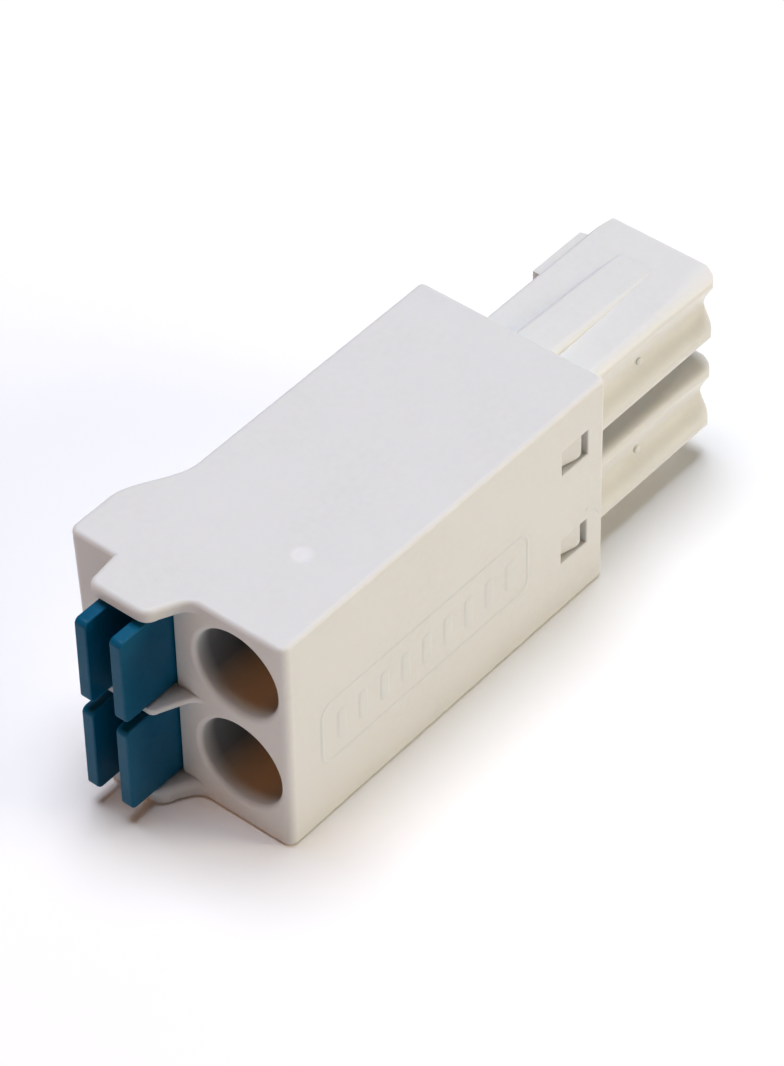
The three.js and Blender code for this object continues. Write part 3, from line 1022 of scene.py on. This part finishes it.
def step_strip(top):
    """The low strip on the upper finger, which falls away towards the tip."""
    y0, y1 = STEP_Y
    base = top - STEP_ROOT
    rings = []
    for x, rise in ((LENGTH + CLEARANCE, STEP_RISE), (STEP_END, -STEP_SINK)):
        near = []
        for y, z in arc((1, -1), 1, 180, 90, steps=8):
            near.append((y0 + STEP_RISE * y, top + rise + STEP_RISE * z))
        far = [(y0 + y1 - y, z) for y, z in reversed(near)]
        rings.append([(x, y, z) for y, z in [(y1, base), (y0, base)] + near + far])
    return loft("step", rings)


def ejector_nub(top):
    """The nub that an ejector pin leaves in a finger's waist."""
    return ellipsoid((NUB_X, PLUG_Y[0] + WAIST - NUB_SINK, top - NUB_DROP), NUB)


def finger_details():
    """The strip on the upper finger and the nub on each, as closed bodies that sit in the fingers."""
    parts = [step_strip(FINGER_TOPS["upper"])] + [ejector_nub(top) for top in FINGER_TOPS.values()]
    settle(gather("finger_details", parts), "housing", "carrier_plastic", CARRIER_PLASTIC)


# ---------------------------------------------------------------- release sliders


def release_slider(name, level):
    """A U-shaped slider: two cheeks joined by a web, the inner cheek running on as the pusher."""
    z0 = SHELVES[level]["top"] + CLEARANCE
    z1 = z0 + SLIDER_HEIGHT
    y0, y1 = SLIDER_Y
    front = -SLIDER_REACH
    side = rounded_rectangle((front, SLIDER_NOSE_X), (z0, z1), SLIDER_CORNER)
    short = rounded_rectangle((front, SLIDER_WEB_X[1]), (z0, z1), SLIDER_CORNER)
    slider = slab(f"release_slider_{name}_fine", side, y0, y0 + SLIDER_CHEEK)
    outer = slab("cheek", short, y1 - SLIDER_CHEEK, y1)
    web = block(SLIDER_WEB_X, (y0, y1), (z0, z1))
    nose_centre = (SLIDER_NOSE_X, y0 + SLIDER_CHEEK / 2)
    nose_outline = arc(nose_centre, SLIDER_CHEEK / 2, 0, 360, steps=32)[:-1]
    nose = plate("nose", nose_outline, z0 + SLIDER_CORNER, z1 - SLIDER_CORNER)
    combine(slider, "UNION", outer, web, nose)
    round_edges(slider, SLIDER_EDGE, 3)
    settle(slider, f"slider_{name}", "slider_plastic", SLIDER_PLASTIC, f"release_slider_{name}")


# ---------------------------------------------------------------- springs, bars and contacts


def strip(name, line, thickness, z):
    """A metal strip of even thickness along a plan line, cut into short lengths."""
    points = [Vector(line[0])]
    for target in map(Vector, line[1:]):
        start = points[-1]
        steps = max(1, round((target - start).length / STRIP_SPACING))
        points += [start.lerp(target, i / steps) for i in range(1, steps + 1)]
    rings = []
    for i, point in enumerate(points):
        before = points[max(i - 1, 0)]
        after = points[min(i + 1, len(points) - 1)]
        along = (after - before).normalized()
        side = Vector((-along.y, along.x)) * thickness / 2
        ring = []
        for a, b in rounded_rectangle((-1, 1), centred(z, SPRING_WIDTH), STRIP_ROUND, steps=3):
            ring.append((*(point + side * a), b))
        rings.append(ring)
    return loft(name, rings)


def clamp_spring(name, z):
    """One bent steel strip: anchor leg, loop and clamping leaf."""
    radius = (SPRING_ANCHOR_Y - SPRING_BASE[1]) / 2
    centre = (SPRING_BASE[0], SPRING_BASE[1] + radius)
    loop = arc(centre, radius, 90, 270 - LEAF_ANGLE, steps=20)
    start = loop[-1]
    slope = math.radians(LEAF_ANGLE)
    reach = (start[1] - BAR_FACE_Y - SPRING_THICKNESS / 2) / math.sin(slope)
    tip = (start[0] + reach * math.cos(slope), start[1] - reach * math.sin(slope))
    line = [(SPRING_ANCHOR_END, SPRING_ANCHOR_Y)] + loop + [tip]
    piece = strip(f"clamp_spring_{name}_strip", line, SPRING_THICKNESS, z)
    settle(piece, None, "spring_steel", SPRING_STEEL, f"clamp_spring_{name}", f"clamp_leaf_{name}")
    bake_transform(piece)


def current_bar(name, z):
    """The bar under the wire, bent across the end of its space."""
    y = BAR_FACE_Y - BAR_THICKNESS / 2
    bend = arc((BAR_CROSS - BAR_BEND, y + BAR_BEND), BAR_BEND, -90, 0, steps=12)
    line = [(BAR_START, y)] + bend + [(BAR_CROSS, BAR_CROSS_END)]
    piece = strip(f"current_bar_{name}_strip", line, BAR_THICKNESS, z)
    settle(piece, "housing", "copper_alloy", COPPER_ALLOY, f"current_bar_{name}")


def socket_contact(name, z):
    """Two springy arms on a base that close on the pin of the mating socket."""
    x0 = BAR_CROSS + BAR_THICKNESS / 2 + CLEARANCE
    half = BORE[0] / 2 - 2 * CLEARANCE
    pinch = CONTACT_END - CONTACT_FLARE
    root = CONTACT_ROOT_GAP / 2
    near = CONTACT_PINCH_GAP / 2
    right = [
        (x0, half),
        (x0 + CONTACT_TAPER, root + CONTACT_ARM),
        (pinch, near + CONTACT_ARM),
        (CONTACT_END, root + CONTACT_ARM),
        (CONTACT_END, root),
        (pinch, near),
        (x0 + CONTACT_TAPER, root),
        (x0 + CONTACT_BASE, root),
    ]
    left = [(x, -y) for x, y in reversed(right)]
    outline = [(x, BORE_Y + y) for x, y in right + left]
    piece = plate(f"socket_contact_{name}_fine", outline, *centred(z + FINGER_LIFT, CONTACT_HEIGHT))
    round_edges(piece, CONTACT_EDGE, 2, sharper_than=20)
    settle(piece, "housing", "tinned_contact", TINNED_CONTACT, f"socket_contact_{name}")


# ---------------------------------------------------------------- relief on the flat side


def raised_pad(bm, outline, slope):
    """A closed pad on the flat side wall with its sides sloping in over a width."""
    levels = (
        (RELIEF + RELIEF_ROOT, 0.0),
        (RELIEF, 0.0),
        (PAD_SHOULDER * RELIEF, slope / 2),
        (0.0, slope),
    )
    add_closed_loft(bm, [[(x, y, z) for x, z in inset(outline, depth)] for y, depth in levels])


def raised_line(bm, path, height, closed):
    """A soft ridge on the flat side wall along a path."""
    profile = (
        (-0.5, -RELIEF_ROOT),
        (-0.5, 0.0),
        (-0.25, LINE_SHOULDER * height),
        (0.0, height),
        (0.25, LINE_SHOULDER * height),
        (0.5, 0.0),
        (0.5, -RELIEF_ROOT),
    )
    rings = []
    last = len(path) - 1
    for i, point in enumerate(path):
        before = path[i - 1] if closed else path[max(i - 1, 0)]
        after = path[(i + 1) % len(path)] if closed else path[min(i + 1, last)]
        along = (Vector(after) - Vector(before)).normalized()
        side = Vector((along.y, -along.x))
        ring = []
        for across, rise in profile:
            x, z = Vector(point) + side * across * LINE_WIDTH
            ring.append(bm.verts.new((x, RELIEF - rise, z)))
        rings.append(ring)
    pairs = list(zip(rings, rings[1:]))
    if closed:
        pairs.append((rings[-1], rings[0]))
    else:
        bm.faces.new(rings[0])
        bm.faces.new(rings[-1])
    for ring, following in pairs:
        add_band(bm, ring, following)


def label_relief():
    """A plain raised frame round a row of even bars."""
    bm = bmesh.new()
    border = tidy_outline(rounded_rectangle(LABEL_X, LABEL_Z, LABEL_ROUND))
    raised_line(bm, border, RELIEF, True)
    pitch = (LABEL_X[1] - LABEL_X[0] - 2 * LABEL_MARGIN_X) / (LABEL_BARS - 1)
    bar_z = (LABEL_Z[0] + LABEL_MARGIN_Z, LABEL_Z[1] - LABEL_MARGIN_Z)
    for i in range(LABEL_BARS):
        bar_x = centred(LABEL_X[0] + LABEL_MARGIN_X + i * pitch, LABEL_BAR_WIDTH)
        bar = rounded_rectangle(bar_x, bar_z, LABEL_BAR_ROUND, steps=5)
        raised_pad(bm, tidy_outline(bar), LABEL_BAR_SLOPE)
    settle(add_object("label_relief", bm), "housing", "housing_plastic", HOUSING_PLASTIC)


def mould_lines():
    """The faint line that a mould insert leaves on the flat side wall by a snap window."""
    bm = bmesh.new()
    path = arc(MOULD_ARC_CENTRE, MOULD_ARC_RADIUS, *MOULD_ARC_ANGLES, steps=8)
    raised_line(bm, path, MOULD_LINE_RELIEF * RELIEF, False)
    settle(add_object("mould_lines", bm), "housing", "housing_plastic", HOUSING_PLASTIC)


# ---------------------------------------------------------------- assembly

housing_shell()
plug_carrier()
finger_details()
for LEVEL, (POLE, POLE_Z) in enumerate(POLES.items()):
    release_slider(POLE, LEVEL)
    clamp_spring(POLE, POLE_Z)
    current_bar(POLE, POLE_Z)
    socket_contact(POLE, POLE_Z)
label_relief()
mould_lines()

# ---------------------------------------------------------------- floor, light and camera

# Places are in metres, turns in degrees, and the camera's lens and sensor in millimetres.

FLOOR_REACH = 1.5
WORLD_COLOUR = (0.94, 0.96, 1.0, 1.0)
WORLD_STRENGTH = 0.03
CAMERA_LENS = 160.76
CAMERA_SENSOR = 36.0
CAMERA_CLIP = (0.01, 10.0)
CAMERA_PLACE = (-0.10778, -0.09209, 0.14047)
CAMERA_TURN = (46.153, 0.916, -50.358)


def add_floor():
    """A plain pale floor that the connector stands on."""
    bm = bmesh.new()
    corners = []
    for x, y in ((-1, -1), (1, -1), (1, 1), (-1, 1)):
        corners.append(bm.verts.new((x * FLOOR_REACH, y * FLOOR_REACH, 0.0)))
    bm.faces.new(corners)
    floor = add_object("floor", bm)
    floor.data.materials.append(floor_paper())


def add_area_light(name, power, size, location, target, colour):
    """A round soft light that faces a target."""
    data = bpy.data.lights.new(name, "AREA")
    data.energy = power
    data.shape = "DISK"
    data.size = size
    data.color = colour
    lamp = bpy.data.objects.new(name, data)
    bpy.context.scene.collection.objects.link(lamp)
    lamp.location = location
    lamp.rotation_euler = (Vector(target) - Vector(location)).to_track_quat("-Z", "Y").to_euler()


def add_world():
    """Faint even light from all round."""
    world = bpy.data.worlds.new("studio")
    world.use_nodes = True
    background = world.node_tree.nodes["Background"]
    background.inputs["Color"].default_value = WORLD_COLOUR
    background.inputs["Strength"].default_value = WORLD_STRENGTH
    bpy.context.scene.world = world


def add_camera():
    """The camera, above the wire entry end and to the flat side."""
    data = bpy.data.cameras.new("camera")
    data.lens = CAMERA_LENS
    data.sensor_width = CAMERA_SENSOR
    data.clip_start, data.clip_end = CAMERA_CLIP
    camera = bpy.data.objects.new("camera", data)
    bpy.context.scene.collection.objects.link(camera)
    camera.location = CAMERA_PLACE
    camera.rotation_euler = Euler([math.radians(a) for a in CAMERA_TURN])
    bpy.context.scene.camera = camera


add_floor()
add_world()
add_area_light(
    "top_light",
    power=3.65,
    size=0.4,
    location=(0.06, 0.08, 0.57),
    target=(0.0, 0.0, 0.0),
    colour=(0.82, 0.88, 1.0),
)
add_area_light(
    "side_light",
    power=2.05,
    size=0.26,
    location=(0.3, -0.5, 0.16),
    target=(0.0, 0.0, 0.005),
    colour=(1.0, 0.9, 0.68),
)
add_area_light(
    "front_light",
    power=0.4,
    size=0.3,
    location=(-0.45, 0.1, 0.36),
    target=(-0.01, 0.0, 0.005),
    colour=(1.0, 0.42, 0.1),
)
add_camera()

bpy.context.scene.view_settings.view_transform = "Standard"
